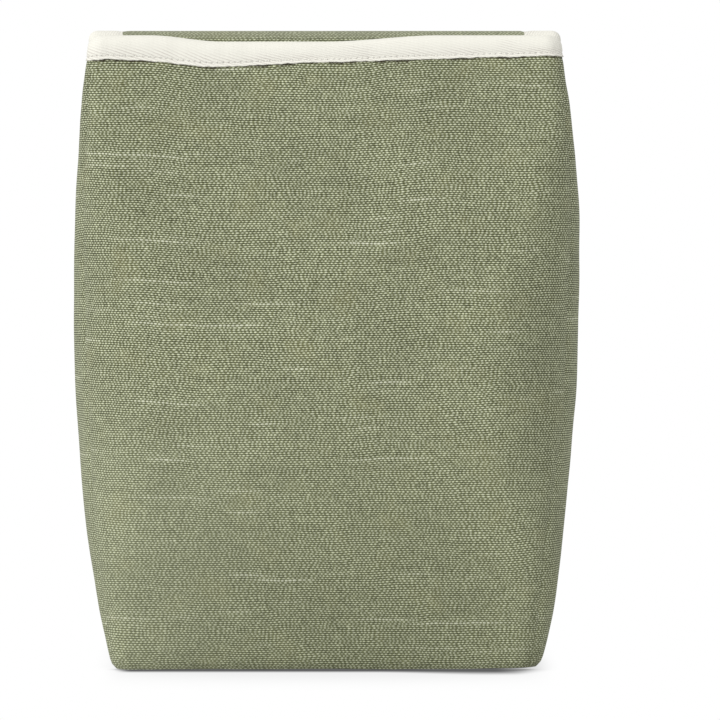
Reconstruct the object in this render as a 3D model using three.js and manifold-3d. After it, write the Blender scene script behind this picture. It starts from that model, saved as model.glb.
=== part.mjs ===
// An insulated linen lunch bag with a box bottom, tucked gussets and a fold-over flap.
// It stands open, with the flap thrown back over the rear wall.
// Units are millimetres, +Z is up and the front faces -Y. The origin is the centre of the base.
import * as THREE from "three";
import { mergeVertices } from "three/addons/utils/BufferGeometryUtils.js";
import Module from "manifold-3d";

const wasm = await Module();
wasm.setup();

// Outline of the body: widths run along X and depths along Y
const BASE_WIDTH = 184;
const BELLY_WIDTH = 221;
const MOUTH_WIDTH = 202.8;
const BELLY_WIDTH_HEIGHT = 162;
const BASE_DEPTH = 124;
const BELLY_DEPTH = 131;
const MOUTH_DEPTH = 105;
const BELLY_DEPTH_HEIGHT = 140;
const BASE_CORNER_RADIUS = 12;
const BELLY_CORNER_RADIUS = 45;
const MOUTH_CORNER_RADIUS = 8;
const EDGE_ROLL_WIDTH = 3; // how far the walls turn under at the floor
const FRONT_CROWN = 3; // fullness of the front wall at its middle
const BACK_CROWN = 1;
const GUSSET_TUCK = 12; // how far the gusset's crease is drawn in at the mouth

// Heights
const FRONT_HEIGHT = 273; // top of the front wall under its tape
const FRONT_DIP = 2.8; // the soft dip in the front edge, left of its middle
const DIP_PLACE = -36;
const DIP_REACH = 42;
const FOLD_RISE = 0.3; // crease line of the flap's fold above the front wall
const FOLD_HEIGHT = FRONT_HEIGHT + FOLD_RISE;
const GUSSET_BACK_DROP = 8; // the gusset's rear corner below the fold
const FACING_DEPTH = 32; // how far the rear facing reaches down inside

// Cloths and padding
const LINEN = 0.8;
const FOAM = 4;
const LINING = 0.4;
const TAPE = 0.6;
const GAP = 0.3; // clearance between pieces that touch

// Tape legs
const MOUTH_TAPE_WIDTH = 9.6;
const FLAP_TAPE_FACE_WIDTH = 14; // on the facing side
const FLAP_TAPE_BACK_WIDTH = 10;

// Fold, flap and tip, measured on the facing side
const FLAP_WIDTH = 209;
const FOLD_LENGTH = 16;
const FOLD_CROWN = 1.2;
const FLAP_LENGTH = 93;
const TIP_LENGTH = 62;
const TIP_CORNER_RADIUS = 20;
const FOLD_BEND = 90; // degrees between the rear wall and the fold, flap thrown back
const FLAP_BEND = 80; // degrees between the fold and the hanging flap
const FOLD_TURN = 132.5; // degrees that each crease of the fold turns to close
const TIP_TURN = 77;
const TIP_FOAM_MARGIN = 4;
const CREASE_SETBACK = 1; // tape kept clear of each crease
const FOAM_SETBACK = 1.2;

// Closing magnets
const MAGNET_DIAMETER = 14;
const MAGNET_THICKNESS = 2;
const MAGNET_SPREAD = 55; // each one's distance from the middle
const MAGNET_DOWN_TIP = 45; // from the tip's crease
const MAGNET_COVER = 0.5; // foam face above the magnet

// Resolution of the lofts
const ARC_STEPS = 3;
const RUN_STEPS = 6;
const BODY_ROWS = [0, 0.07, 0.21, 0.36, 0.51, 0.66, 0.8, 0.91, 1];
const FOLD_STEPS = 6;
const TIP_CORNER_STEPS = 5;

const { cos, sin, tan, sqrt, abs, exp, max, min, PI } = Math;
const { lerp, smoothstep, degToRad } = THREE.MathUtils;

// Depth of each layer below the outer face of the wall
const FOAM_FACE = LINEN + GAP;
const INNER_FACE = FOAM_FACE + FOAM + GAP;
const LAYERS = {
  outer: [0, LINEN],
  insulation: [FOAM_FACE, FOAM_FACE + FOAM],
  lining: [INNER_FACE, INNER_FACE + LINING],
  facing: [INNER_FACE, INNER_FACE + LINEN],
};
const WALL = LAYERS.lining[1];
const FOLD_STACK = LAYERS.facing[1];

// Materials
const cloth = (color, roughness) =>
  new THREE.MeshStandardMaterial({ color, roughness, metalness: 0 });
const linen = cloth(0x8d9176, 0.95);
const tape = cloth(0xf0eee3, 0.9);
const foam = cloth(0xe9e7e0, 0.85);
const lining = cloth(0xc9cbc9, 0.45);
const steel = new THREE.MeshStandardMaterial({
  color: 0xa7a9ab,
  roughness: 0.35,
  metalness: 1,
});

const bag = new THREE.Group();
bag.name = "lunch_bag";

function addPiece(parent, name, geometry, material) {
  const mesh = new THREE.Mesh(geometry, material);
  mesh.name = name;
  parent.add(mesh);
  return mesh;
}

// Lofts closed rings of equal count. Point k of a ring lies across the wall from
// point n - 1 - k, which closes both ends with a strip of quads.
function loft(rings) {
  const count = rings[0].length;
  const half = count / 2;
  const positions = rings.flat().flatMap((p) => [p.x, p.y, p.z]);
  const index = [];
  for (let r = 0; r + 1 < rings.length; r++) {
    for (let k = 0; k < count; k++) {
      const next = (k + 1) % count;
      const [a, b] = [r * count + k, r * count + next];
      const [c, d] = [b + count, a + count];
      if (k < half) index.push(a, b, c, a, c, d);
      else index.push(a, b, d, b, c, d);
    }
  }
  const last = (rings.length - 1) * count;
  for (let k = 0; k + 1 < half; k++) {
    const [a, b, c, d] = [k, k + 1, count - 2 - k, count - 1 - k];
    index.push(a, c, b, a, d, c);
    index.push(last + a, last + b, last + c, last + a, last + c, last + d);
  }
  const geometry = new THREE.BufferGeometry();
  geometry.setAttribute("position", new THREE.Float32BufferAttribute(positions, 3));
  geometry.setIndex(index);
  return facedOut(geometry);
}

// Turns every face round when the closed surface has its faces inwards.
function facedOut(geometry) {
  const position = geometry.getAttribute("position");
  const index = geometry.index.array;
  const corner = (i) => new THREE.Vector3().fromBufferAttribute(position, index[i]);
  let volume = 0;
  for (let i = 0; i < index.length; i += 3) {
    volume += corner(i).dot(corner(i + 1).cross(corner(i + 2)));
  }
  if (volume < 0) geometry.setIndex(Array.from(index).reverse());
  geometry.computeVertexNormals();
  return geometry;
}

// Section of the body at a height: half sizes, corner radius and the shaping of its sides
function bodySection(z) {
  const below = max(0, 1 - z / BELLY_WIDTH_HEIGHT);
  const above = max(0, (z - BELLY_WIDTH_HEIGHT) / (FRONT_HEIGHT - BELLY_WIDTH_HEIGHT));
  const belowDepth = max(0, 1 - z / BELLY_DEPTH_HEIGHT);
  const aboveDepth = max(0, (z - BELLY_DEPTH_HEIGHT) / (FRONT_HEIGHT - BELLY_DEPTH_HEIGHT));
  const width = BELLY_WIDTH - (BELLY_WIDTH - BASE_WIDTH) * below ** 2.1
    - (BELLY_WIDTH - MOUTH_WIDTH) * above ** 1.8;
  const depth = BELLY_DEPTH - (BELLY_DEPTH - BASE_DEPTH) * belowDepth ** 2
    - (BELLY_DEPTH - MOUTH_DEPTH) * aboveDepth ** 1.8;
  const swell = smoothstep(z, 0, 0.75 * BELLY_WIDTH_HEIGHT);
  const crease = smoothstep(z, 0.9 * BELLY_WIDTH_HEIGHT, 0.96 * FRONT_HEIGHT);
  const belly = lerp(BASE_CORNER_RADIUS, BELLY_CORNER_RADIUS, swell);
  const fullness = sin(PI * min(1, z / FRONT_HEIGHT) ** 0.85);
  const rolled = max(0, 1 - z / INNER_FACE);
  const turnUnder = EDGE_ROLL_WIDTH * (1 - sqrt(1 - rolled ** 2));
  return {
    halfWidth: width / 2 - turnUnder,
    halfDepth: depth / 2 - turnUnder,
    radius: lerp(belly, MOUTH_CORNER_RADIUS, crease),
    frontCrown: FRONT_CROWN * fullness,
    backCrown: BACK_CROWN * fullness,
    tuck: GUSSET_TUCK * smoothstep(z, 0.55 * FRONT_HEIGHT, FRONT_HEIGHT),
  };
}

// The four walls, in order round the bag. Each has its run along "u" and faces out along "n".
const SIDES = {
  left: { place: (u, n) => [-n, -u], gusset: true },
  front: { place: (u, n) => [u, -n], gusset: false },
  right: { place: (u, n) => [n, u], gusset: true },
  back: { place: (u, n) => [-u, n], gusset: false },
};
const COLUMNS = 2 * ARC_STEPS + RUN_STEPS;

// Point of a wall at a column, a height and a depth below the outer face. Seamed walls stop
// half a clearance short of the corner, where the next wall begins.
function wallPoint(sideName, column, z, inset, seamed = true) {
  const side = SIDES[sideName];
  const section = bodySection(z);
  const [along, out] = side.gusset
    ? [section.halfDepth, section.halfWidth]
    : [section.halfWidth, section.halfDepth];
  const radius = max(section.radius - inset, MOUTH_CORNER_RADIUS / 8);
  const runHalf = along - inset - radius;
  const face = out - inset;
  let u;
  let n;
  if (column < ARC_STEPS || column > ARC_STEPS + RUN_STEPS) {
    const fromRun = column < ARC_STEPS ? ARC_STEPS - column : column - ARC_STEPS - RUN_STEPS;
    const angle = (PI / 4) * (fromRun / ARC_STEPS);
    u = runHalf + radius * sin(angle);
    n = face - radius + radius * cos(angle);
    if (seamed && fromRun === ARC_STEPS) {
      u -= GAP / 2 / sqrt(2);
      n += GAP / 2 / sqrt(2);
    }
    if (column < ARC_STEPS) u = -u;
  } else {
    const share = (2 * (column - ARC_STEPS)) / RUN_STEPS - 1;
    u = share * runHalf;
    n = face;
    if (side.gusset) n -= section.tuck * (1 - abs(share)) ** 1.2;
    else n += (sideName === "front" ? section.frontCrown : section.backCrown) * (1 - share ** 2) ** 2;
  }
  const [x, y] = side.place(u, n);
  return new THREE.Vector3(x, y, z);
}

// Top of a wall at a column. The rear wall ends in a mitre under the fold.
function wallTop(sideName, column, inset) {
  const rearCorner = FOLD_HEIGHT - GUSSET_BACK_DROP;
  if (sideName === "back") return FOLD_HEIGHT - mitreStart(FOLD_BEND, FOLD_STACK - inset);
  if (sideName === "front") {
    const x = wallPoint("front", column, FRONT_HEIGHT, 0).x;
    return FRONT_HEIGHT - FRONT_DIP * exp(-(((x - DIP_PLACE) / DIP_REACH) ** 2));
  }
  const frontColumn = sideName === "left" ? COLUMNS : 0;
  const frontCorner = wallTop("front", COLUMNS - frontColumn, 0);
  return lerp(frontCorner, rearCorner, abs(column - frontColumn) / COLUMNS);
}

// Distance of a mitred end from its crease line, at a depth below the facing side.
function mitreStart(bend, depth) {
  const half = degToRad(bend / 2);
  return max(0, depth) * tan(half) + GAP / 2 / cos(half);
}

// Heights of a wall's rows at one column, all alike below the facing so that layers lie parallel.
const FACING_BOTTOM = FOLD_HEIGHT - FACING_DEPTH;
function rowHeights(sideName, column, inset) {
  const top = wallTop(sideName, column, inset);
  const rearTapeLine = FOLD_HEIGHT - GUSSET_BACK_DROP - MOUTH_TAPE_WIDTH;
  const tapeLine = sideName === "back" ? rearTapeLine : top - MOUTH_TAPE_WIDTH;
  const body = BODY_ROWS.map((share) => lerp(INNER_FACE, FACING_BOTTOM, share));
  return [0, FOAM_FACE, ...body, tapeLine, top];
}
const FIRST_ROW = { outer: 0, insulation: 1, lining: 2, facing: 1 + BODY_ROWS.length };
const FACING_ROW = 1 + BODY_ROWS.length;

// One layer of one wall as a closed slab.
function wallSlab(sideName, layer, lastRow = null) {
  const [faceDepth, backDepth] = LAYERS[layer];
  const columns = Array.from({ length: COLUMNS + 1 }, (_, column) => column);
  const rows = rowHeights(sideName, 0, 0).length;
  const end = lastRow ?? rows - 1;
  const rings = [];
  for (let row = FIRST_ROW[layer]; row <= end; row++) {
    const at = (column, inset) => {
      let z = rowHeights(sideName, column, inset)[row];
      if (row === FACING_ROW && layer === "facing") z += GAP / 2;
      if (row === FACING_ROW && lastRow !== null) z -= GAP / 2;
      return wallPoint(sideName, column, z, inset);
    };
    const outerSide = columns.map((column) => at(column, faceDepth));
    const innerSide = columns.map((column) => at(column, backDepth)).reverse();
    rings.push([...outerSide, ...innerSide]);
  }
  return loft(rings);
}

// Outline of the body at a height, as a flat shape that fits inside the walls' facets.
function sectionShape(z, inset) {
  const points = [];
  for (const sideName of ["front", "right", "back", "left"]) {
    for (let column = 0; column < COLUMNS; column++) {
      const p = wallPoint(sideName, column, z, inset, false);
      points.push(new THREE.Vector2(p.x, p.y));
    }
  }
  return new THREE.Shape(points);
}

function basePlate(outlineHeight, inset, bottom, thickness) {
  const shape = sectionShape(outlineHeight, inset);
  const plate = new THREE.ExtrudeGeometry(shape, { depth: thickness, bevelEnabled: false });
  return plate.translate(0, 0, bottom);
}

// Folded tape in section: "out" runs inwards from the bound edge, "deep" through the wall.
function tapeSection(wall, faceLeg, backLeg) {
  const inner = (grow, round) => [
    [faceLeg, -grow],
    [round - grow, -grow],
    [-grow, round - grow],
    [-grow, wall + grow - round],
    [round - grow, wall + grow],
    [backLeg, wall + grow],
  ];
  const round = GAP + TAPE;
  return [...inner(GAP, GAP / 2), ...inner(GAP + TAPE, round).reverse()];
}

function bindingLoft(stations, section, place) {
  return loft(stations.map((station) => section.map(([out, deep]) => place(station, out, deep))));
}

// Body walls and base
const WALL_NODES = { front: "front", back: "back", left: "left_gusset", right: "right_gusset" };
for (const [sideName, node] of Object.entries(WALL_NODES)) {
  addPiece(bag, `outer_${node}`, wallSlab(sideName, "outer"), linen);
  if (sideName !== "front") {
    addPiece(bag, `insulation_${node}`, wallSlab(sideName, "insulation"), foam);
  }
  const lastRow = sideName === "back" ? FACING_ROW : null;
  addPiece(bag, `lining_${node}`, wallSlab(sideName, "lining", lastRow), lining);
}
addPiece(bag, "back_facing", wallSlab("back", "facing"), linen);
addPiece(bag, "outer_base", basePlate(0, FOAM_FACE, 0, LINEN), linen);
addPiece(bag, "insulation_base", basePlate(FOAM_FACE, INNER_FACE, FOAM_FACE, FOAM), foam);
addPiece(bag, "lining_base", basePlate(INNER_FACE, WALL + GAP, INNER_FACE, LINING), lining);

// Tape over the mouth, from one rear corner round the front to the other
const mouthStations = [];
for (const sideName of ["left", "front", "right"]) {
  for (let column = 0; column <= COLUMNS; column++) {
    if (column === 0 && sideName !== "left") continue;
    mouthStations.push({ sideName, column });
  }
}
const mouthEnds = [mouthStations[0], mouthStations.at(-1)];
addPiece(
  bag,
  "mouth_binding",
  bindingLoft(mouthStations, tapeSection(WALL, MOUTH_TAPE_WIDTH, MOUTH_TAPE_WIDTH), (station, out, deep) => {
    const z = wallTop(station.sideName, station.column, 0) - out;
    return wallPoint(station.sideName, station.column, z, deep, mouthEnds.includes(station));
  }),
  tape,
);

// Fold, flap and tip: each group's Y runs away from the bag and its Z out of the facing side
const fold = new THREE.Group();
const rearFace = wallPoint("back", COLUMNS / 2, FOLD_HEIGHT - FOLD_STACK, 0).y;
fold.position.set(0, rearFace - FOLD_STACK, FOLD_HEIGHT);
bag.add(fold);
const flap = new THREE.Group();
flap.position.set(0, FOLD_LENGTH, 0);
flap.rotation.x = -degToRad(FLAP_BEND);
fold.add(flap);
const tip = new THREE.Group();
tip.position.set(0, FLAP_LENGTH, 0);
flap.add(tip);

// A length of the stack, mitred at the creases, with an optional crown on its facing side
const foldLength = {
  start: (depth) => mitreStart(FOLD_BEND, depth),
  end: (depth) => FOLD_LENGTH - mitreStart(FLAP_BEND, depth),
  crown: (y, depth) => {
    const share = min(1, max(0, y / FOLD_LENGTH));
    return FOLD_CROWN * 4 * share * (1 - share) * (1 - max(0, depth) / FOLD_STACK);
  },
};
const flapLength = {
  start: (depth) => mitreStart(FLAP_BEND, depth),
  end: () => FLAP_LENGTH - GAP / 2,
  crown: () => 0,
};

// The stack's layers, counted from the facing side
const STACK = {
  facing: [0, LINEN],
  insulation: [FOAM_FACE, FOAM_FACE + FOAM],
  outer: [INNER_FACE, FOLD_STACK],
};

// A layer's profile in the Y-Z plane, extruded across the bag.
function acrossBag(length, [near, far], setback, width) {
  const edge = (depth) => {
    const from = length.start(depth) + setback;
    const to = length.end(depth) - setback;
    return Array.from({ length: FOLD_STEPS + 1 }, (_, step) => {
      const y = lerp(from, to, step / FOLD_STEPS);
      return new THREE.Vector2(y, length.crown(y, depth) - depth);
    });
  };
  const shape = new THREE.Shape([...edge(far), ...edge(near).reverse()]);
  const solid = new THREE.ExtrudeGeometry(shape, { depth: width, bevelEnabled: false });
  solid.translate(0, 0, -width / 2);
  const axes = new THREE.Matrix4().makeBasis(
    new THREE.Vector3(0, 1, 0),
    new THREE.Vector3(0, 0, 1),
    new THREE.Vector3(1, 0, 0),
  );
  return solid.applyMatrix4(axes);
}

// Tape along one side edge of a length of the stack.
function sideBinding(length, hand) {
  const section = tapeSection(FOLD_STACK, FLAP_TAPE_FACE_WIDTH, FLAP_TAPE_BACK_WIDTH);
  const clear = (deep) => (deep < 0 ? CREASE_SETBACK : 0);
  const stations = Array.from({ length: FOLD_STEPS + 1 }, (_, step) => step / FOLD_STEPS);
  return bindingLoft(stations, section, (share, out, deep) => {
    const y = lerp(length.start(deep) + clear(deep), length.end(deep) - clear(deep), share);
    return new THREE.Vector3(hand * (FLAP_WIDTH / 2 - out), y, length.crown(y, deep) - deep);
  });
}

const HANDS = { left: -1, right: 1 };
for (const [name, group, length] of [["fold", fold, foldLength], ["flap", flap, flapLength]]) {
  addPiece(group, `${name}_facing`, acrossBag(length, STACK.facing, 0, FLAP_WIDTH), linen);
  addPiece(group, `${name}_outer`, acrossBag(length, STACK.outer, 0, FLAP_WIDTH), linen);
  const padding = acrossBag(length, STACK.insulation, FOAM_SETBACK, FLAP_WIDTH - 2 * GAP);
  addPiece(group, `${name}_insulation`, padding, foam);
  for (const [handName, hand] of Object.entries(HANDS)) {
    addPiece(group, `${name}_binding_${handName}`, sideBinding(length, hand), tape);
  }
}

// Tip of the flap: layers cut to one outline with rounded corners
function tipLayer([near, far], margin, start) {
  const halfWidth = FLAP_WIDTH / 2 - margin;
  const end = TIP_LENGTH - margin;
  const radius = TIP_CORNER_RADIUS - margin;
  const outline = new THREE.Shape();
  outline.moveTo(-halfWidth, start);
  outline.lineTo(halfWidth, start);
  outline.absarc(halfWidth - radius, end - radius, radius, 0, PI / 2, false);
  outline.absarc(radius - halfWidth, end - radius, radius, PI / 2, PI, false);
  const options = { depth: far - near, bevelEnabled: false, curveSegments: TIP_CORNER_STEPS };
  return new THREE.ExtrudeGeometry(outline, options).translate(0, 0, -far);
}

function tipBinding() {
  const stations = [];
  const addStation = (x, y, angle) => stations.push({ x, y, angle });
  const centreX = FLAP_WIDTH / 2 - TIP_CORNER_RADIUS;
  const centreY = TIP_LENGTH - TIP_CORNER_RADIUS;
  addStation(FLAP_WIDTH / 2, CREASE_SETBACK, 0);
  for (const [hand, first] of [[1, 0], [-1, PI / 2]]) {
    for (let step = 0; step <= TIP_CORNER_STEPS; step++) {
      const angle = first + ((PI / 2) * step) / TIP_CORNER_STEPS;
      const x = hand * centreX + TIP_CORNER_RADIUS * cos(angle);
      addStation(x, centreY + TIP_CORNER_RADIUS * sin(angle), angle);
    }
  }
  addStation(-FLAP_WIDTH / 2, CREASE_SETBACK, PI);
  const section = tapeSection(FOLD_STACK, FLAP_TAPE_FACE_WIDTH, FLAP_TAPE_BACK_WIDTH);
  return bindingLoft(stations, section, ({ x, y, angle }, out, deep) =>
    new THREE.Vector3(x - out * cos(angle), y - out * sin(angle), -deep));
}

addPiece(tip, "tip_facing", tipLayer(STACK.facing, 0, GAP / 2), linen);
addPiece(tip, "tip_outer", tipLayer(STACK.outer, 0, GAP / 2), linen);
addPiece(tip, "tip_binding", tipBinding(), tape);

// Closing magnets in pockets of the foam
function solidOf(geometry) {
  const bare = geometry.index ? geometry.clone() : mergeVertices(geometry.clone());
  for (const name of Object.keys(bare.attributes)) {
    if (name !== "position") bare.deleteAttribute(name);
  }
  const merged = mergeVertices(bare, 1e-4);
  return new wasm.Manifold(
    new wasm.Mesh({
      numProp: 3,
      vertProperties: new Float32Array(merged.getAttribute("position").array),
      triVerts: new Uint32Array(merged.index.array),
    }),
  );
}

function geometryOf(solid) {
  const { vertProperties, triVerts } = solid.getMesh();
  const geometry = new THREE.BufferGeometry();
  geometry.setAttribute("position", new THREE.BufferAttribute(vertProperties, 3));
  geometry.setIndex(new THREE.BufferAttribute(triVerts, 1));
  geometry.computeVertexNormals();
  return geometry;
}

// A disc whose axis is Z, from its top face down.
const disc = (diameter, top, thickness) =>
  new THREE.CylinderGeometry(diameter / 2, diameter / 2, thickness, 20)
    .rotateX(PI / 2)
    .translate(0, 0, top - thickness / 2);

// Cuts a pocket for each magnet and adds the magnet. Each place holds the foam's face and its
// outward direction.
function seatMagnets(parent, padName, magnetName, padding, places) {
  const pocketDepth = MAGNET_COVER + MAGNET_THICKNESS + GAP;
  let pad = solidOf(padding);
  for (const [handName, place] of Object.entries(places)) {
    const turn = new THREE.Quaternion().setFromUnitVectors(new THREE.Vector3(0, 0, 1), place.out);
    const seat = new THREE.Matrix4().compose(place.face, turn, new THREE.Vector3(1, 1, 1));
    const pocket = disc(MAGNET_DIAMETER + 2 * GAP, FOAM / 2, pocketDepth + FOAM / 2);
    pad = pad.subtract(solidOf(pocket.applyMatrix4(seat)));
    const magnet = disc(MAGNET_DIAMETER, -MAGNET_COVER, MAGNET_THICKNESS);
    addPiece(parent, `${magnetName}_${handName}`, magnet.applyMatrix4(seat), steel);
  }
  addPiece(parent, padName, geometryOf(pad), foam);
}

const tipPad = tipLayer(STACK.insulation, TIP_FOAM_MARGIN, FOAM_SETBACK);
const tipPlaces = {};
for (const [handName, hand] of Object.entries(HANDS)) {
  tipPlaces[handName] = {
    face: new THREE.Vector3(hand * MAGNET_SPREAD, MAGNET_DOWN_TIP, -STACK.insulation[0]),
    out: new THREE.Vector3(0, 0, 1),
  };
}
seatMagnets(tip, "tip_insulation", "tip_magnet", tipPad, tipPlaces);

// Height at which the tip's magnets meet the front wall once the flap is closed
const foldAngle = degToRad(FOLD_TURN);
const flapAngle = degToRad(2 * FOLD_TURN - FLAP_BEND);
const tipAngle = flapAngle + degToRad(TIP_TURN);
const frontMagnetHeight = FOLD_HEIGHT + FOLD_LENGTH * sin(foldAngle)
  + FLAP_LENGTH * sin(flapAngle) + MAGNET_DOWN_TIP * sin(tipAngle);

// Face of the front foam at a place across and up the wall, with its outward direction
function frontFoamPoint(x, z) {
  const section = bodySection(z);
  const share = x / (section.halfWidth - section.radius);
  const crown = section.frontCrown * (1 - min(1, share ** 2)) ** 2;
  return new THREE.Vector3(x, FOAM_FACE - section.halfDepth - crown, z);
}
const frontPlaces = {};
for (const [handName, hand] of Object.entries(HANDS)) {
  const reach = MAGNET_DIAMETER / 2;
  const x = hand * MAGNET_SPREAD;
  const across = frontFoamPoint(x + reach, frontMagnetHeight).sub(frontFoamPoint(x - reach, frontMagnetHeight));
  const up = frontFoamPoint(x, frontMagnetHeight + reach).sub(frontFoamPoint(x, frontMagnetHeight - reach));
  frontPlaces[handName] = { face: frontFoamPoint(x, frontMagnetHeight), out: across.cross(up).normalize() };
}
seatMagnets(bag, "insulation_front", "front_magnet", wallSlab("front", "insulation"), frontPlaces);

export default bag;
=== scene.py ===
"""A soft insulated lunch bag: green linen over foam, tape round the mouth and the flap.

Lengths are in millimetres until they go into a mesh, and the frame is the CAD model's own.
"""

import math
from types import SimpleNamespace

import bmesh
import bpy
import numpy as np
from mathutils import Matrix, Vector, noise


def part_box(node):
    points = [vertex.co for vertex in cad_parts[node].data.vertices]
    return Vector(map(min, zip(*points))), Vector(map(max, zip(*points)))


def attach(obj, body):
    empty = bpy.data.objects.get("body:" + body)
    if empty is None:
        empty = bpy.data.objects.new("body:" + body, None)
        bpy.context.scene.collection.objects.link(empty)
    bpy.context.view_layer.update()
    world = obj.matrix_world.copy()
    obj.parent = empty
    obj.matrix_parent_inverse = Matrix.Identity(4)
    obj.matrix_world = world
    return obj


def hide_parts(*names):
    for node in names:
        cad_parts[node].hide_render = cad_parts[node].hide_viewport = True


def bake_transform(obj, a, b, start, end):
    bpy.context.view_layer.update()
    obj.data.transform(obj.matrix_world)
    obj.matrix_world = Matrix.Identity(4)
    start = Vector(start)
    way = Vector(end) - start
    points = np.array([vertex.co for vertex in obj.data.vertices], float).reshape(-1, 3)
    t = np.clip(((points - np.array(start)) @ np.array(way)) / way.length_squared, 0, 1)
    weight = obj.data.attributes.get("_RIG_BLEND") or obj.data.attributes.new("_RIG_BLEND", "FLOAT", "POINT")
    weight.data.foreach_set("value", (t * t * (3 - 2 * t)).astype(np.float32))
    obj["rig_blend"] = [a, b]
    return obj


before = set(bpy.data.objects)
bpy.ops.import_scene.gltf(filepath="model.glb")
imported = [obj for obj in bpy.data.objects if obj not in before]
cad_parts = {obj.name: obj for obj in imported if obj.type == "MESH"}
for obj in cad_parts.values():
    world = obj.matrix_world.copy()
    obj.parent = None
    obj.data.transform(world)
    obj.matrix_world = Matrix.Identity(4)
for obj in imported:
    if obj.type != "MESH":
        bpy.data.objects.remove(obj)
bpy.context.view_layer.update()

MM = 0.001

# The body, as in the CAD model
BASE_WIDTH = 184
BELLY_WIDTH = 221
MOUTH_WIDTH = 202.8
BELLY_WIDTH_HEIGHT = 162
BASE_DEPTH = 124
BELLY_DEPTH = 131
MOUTH_DEPTH = 105
BELLY_DEPTH_HEIGHT = 140
FRONT_HEIGHT = 273
BASE_CORNER = 12
BELLY_CORNER = 45
MOUTH_CORNER = 7
REAR_MOUTH_CORNER = 1.5
EDGE_ROLL = 1.6
FRONT_CROWN = 3
BACK_CROWN = 1
GUSSET_TUCK = 12

# The wall's layers, as depths below its outer face
LINEN = 0.8
FOAM_FACE = 1.1
FOAM = 4
LINING_FACE = 5.4
LINING = 0.4
TAPE = 0.6
WALL = 5.8
STACK = 6.2

# The mouth
MOUTH_DROP = 2.6  # cut edges below the top of the tape
REAR_TOP = 266.2
MOUTH_TAPE_LEG = 9.6
STITCH_INSET = 1.5
STITCH_PITCH = 2.5
FACING_BOTTOM = 241.3

# The flap, thrown back over a soft roll. A place on it is x and its distance "run" along
# the facing from the start of the roll, with a depth below the facing.
FLAP_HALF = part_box("flap_facing")[1].x / MM
ROLL_HEIGHT = 266.8
ROLL_RADIUS = 8.2
ROLL_TURN = math.radians(170)
ROLL_LENGTH = ROLL_RADIUS * ROLL_TURN
MID_ROLL = ROLL_RADIUS * math.radians(90)
TIP_CREASE = ROLL_LENGTH + 88.2
MID_FLAP = ROLL_LENGTH + 40
FLAP_END = TIP_CREASE + 62
TIP_CORNER = 20
FLAP_BOW = 1.5
FLAP_SHIFT = -0.8  # the flap lies a little to the left
TAPE_PRESS = 0.65  # how far the tape presses the flap's padding in
FLAP_TAPE_FACE = 15.8
FLAP_TAPE_BACK = 10
MOUTH_TAPE_PROUD = 0.95
FLAP_TAPE_PROUD = 0.75
FLAP_TAPE_REACH = 0.9  # from the flap's half width out to the tape's fold
STACK_EDGE = 1.7  # cut edges inside the folded tape
CLOTH_END = FLAP_END - STACK_EDGE
FINE_ROWS_FROM = -26  # the rear wall's rows are finer from this run on
REAR_FLATTENS = (-14, -4)  # and it loses its relief between these

# How the walls curve between the base, the belly and the mouth
SIDE_CURVE_LOW, SIDE_CURVE_HIGH = 2.1, 1.8
DEEP_CURVE_LOW, DEEP_CURVE_HIGH = 2, 1.8
SIDE_FULLNESS = ((2, 24, 30), (-1, 220, 24))  # more width, its height and its spread
SIDE_SWAY = ((0.3, 212, 24), (-1.1, 66, 34))  # the same for a shift of both sides to the right
MOUTH_SWAY = -0.7
CROWN_POWER = 0.85
ROUND_CORNERS_AT = 0.75 * BELLY_WIDTH_HEIGHT
CORNER_CREASE = (0.9 * BELLY_WIDTH_HEIGHT, 0.96 * FRONT_HEIGHT)
REAR_CORNER_CREASE = (225, 258)
SMALLEST_CORNER = 0.6
LEFT_FOOT_SHARPER = 4.5
TUCK_START = 0.55 * FRONT_HEIGHT
TUCK_NOSE = 0.03
TUCK_POWER = 1.15

# Degrees round a front corner from the front panel to its seam, low, half way and at the mouth
SEAM_LOW = {"left": 58, "right": 34}
SEAM_MIDDLE = 61
SEAM_MOUTH = 45

# The folded edge of the mouth's tape, with its dip at the left, and its lower edge
TAPE_TOP = 273.8
TAPE_DIP = 2.7
DIP_FALLS, DIP_RISES = (-78, -46), (0, 50)
TAPE_LOWER_EDGE = 264.3

# Soft relief of the cloth: waves by their height and length, and calm stretches by their heights
LONG_WAVE, LONG_WAVE_LENGTH = 1.0, 62
SHORT_WAVE, SHORT_WAVE_LENGTH = 0.32, 21
CALM_MOUTH = (235, 262)
CALM_FOOT = (-2, 14)
GUSSET_HALF = 60
GUSSET_BRANCH_FROM = 165  # where the gusset's fold line branches to both corners
SEAM_DIP = 0.5
TAPE_SINKS = 0.55  # the cloth under the mouth's tape

# Dents and swellings low on the front: their height, place and half width along x and along z
FRONT_DENTS = (
    (-0.9, -22, 7, 20, 16),
    (-0.6, 10, 6, 14, 12),
    (-0.7, 75, 8, 22, 15),
    (0.5, -48, 16, 18, 14),
)
FRONT_FOLD_AT = (26, 179.5)  # a slanted soft fold, by its middle and its direction
FRONT_FOLD_ALONG = (0.907, 0.42)

# The folded tape in section, and the thread
TURN_IN = 4.0
LEG_SHARE = 0.34  # of the tape's rows lie on each leg, and the rest go round the fold
THREAD_HALF_WIDTH = 0.24
THREAD_HALF_HEIGHT = 0.2
THREAD_PROUD = 0.05

# The weave's pitches
WARP_PITCH = 0.88
WEFT_PITCH = 0.965
TWILL_PITCH = 1.18
TWILL_SLANT = 0.28
TAPE_YARN = 0.55
LINING_YARN = 0.45


def lerp(a, b, t):
    return a + (b - a) * t


def ease(value, low, high):
    t = min(1.0, max(0.0, (value - low) / (high - low)))
    return t * t * (3 - 2 * t)


def bell(value, centre, width):
    return math.exp(-(((value - centre) / width) ** 2))


# Shape of the body


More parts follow.
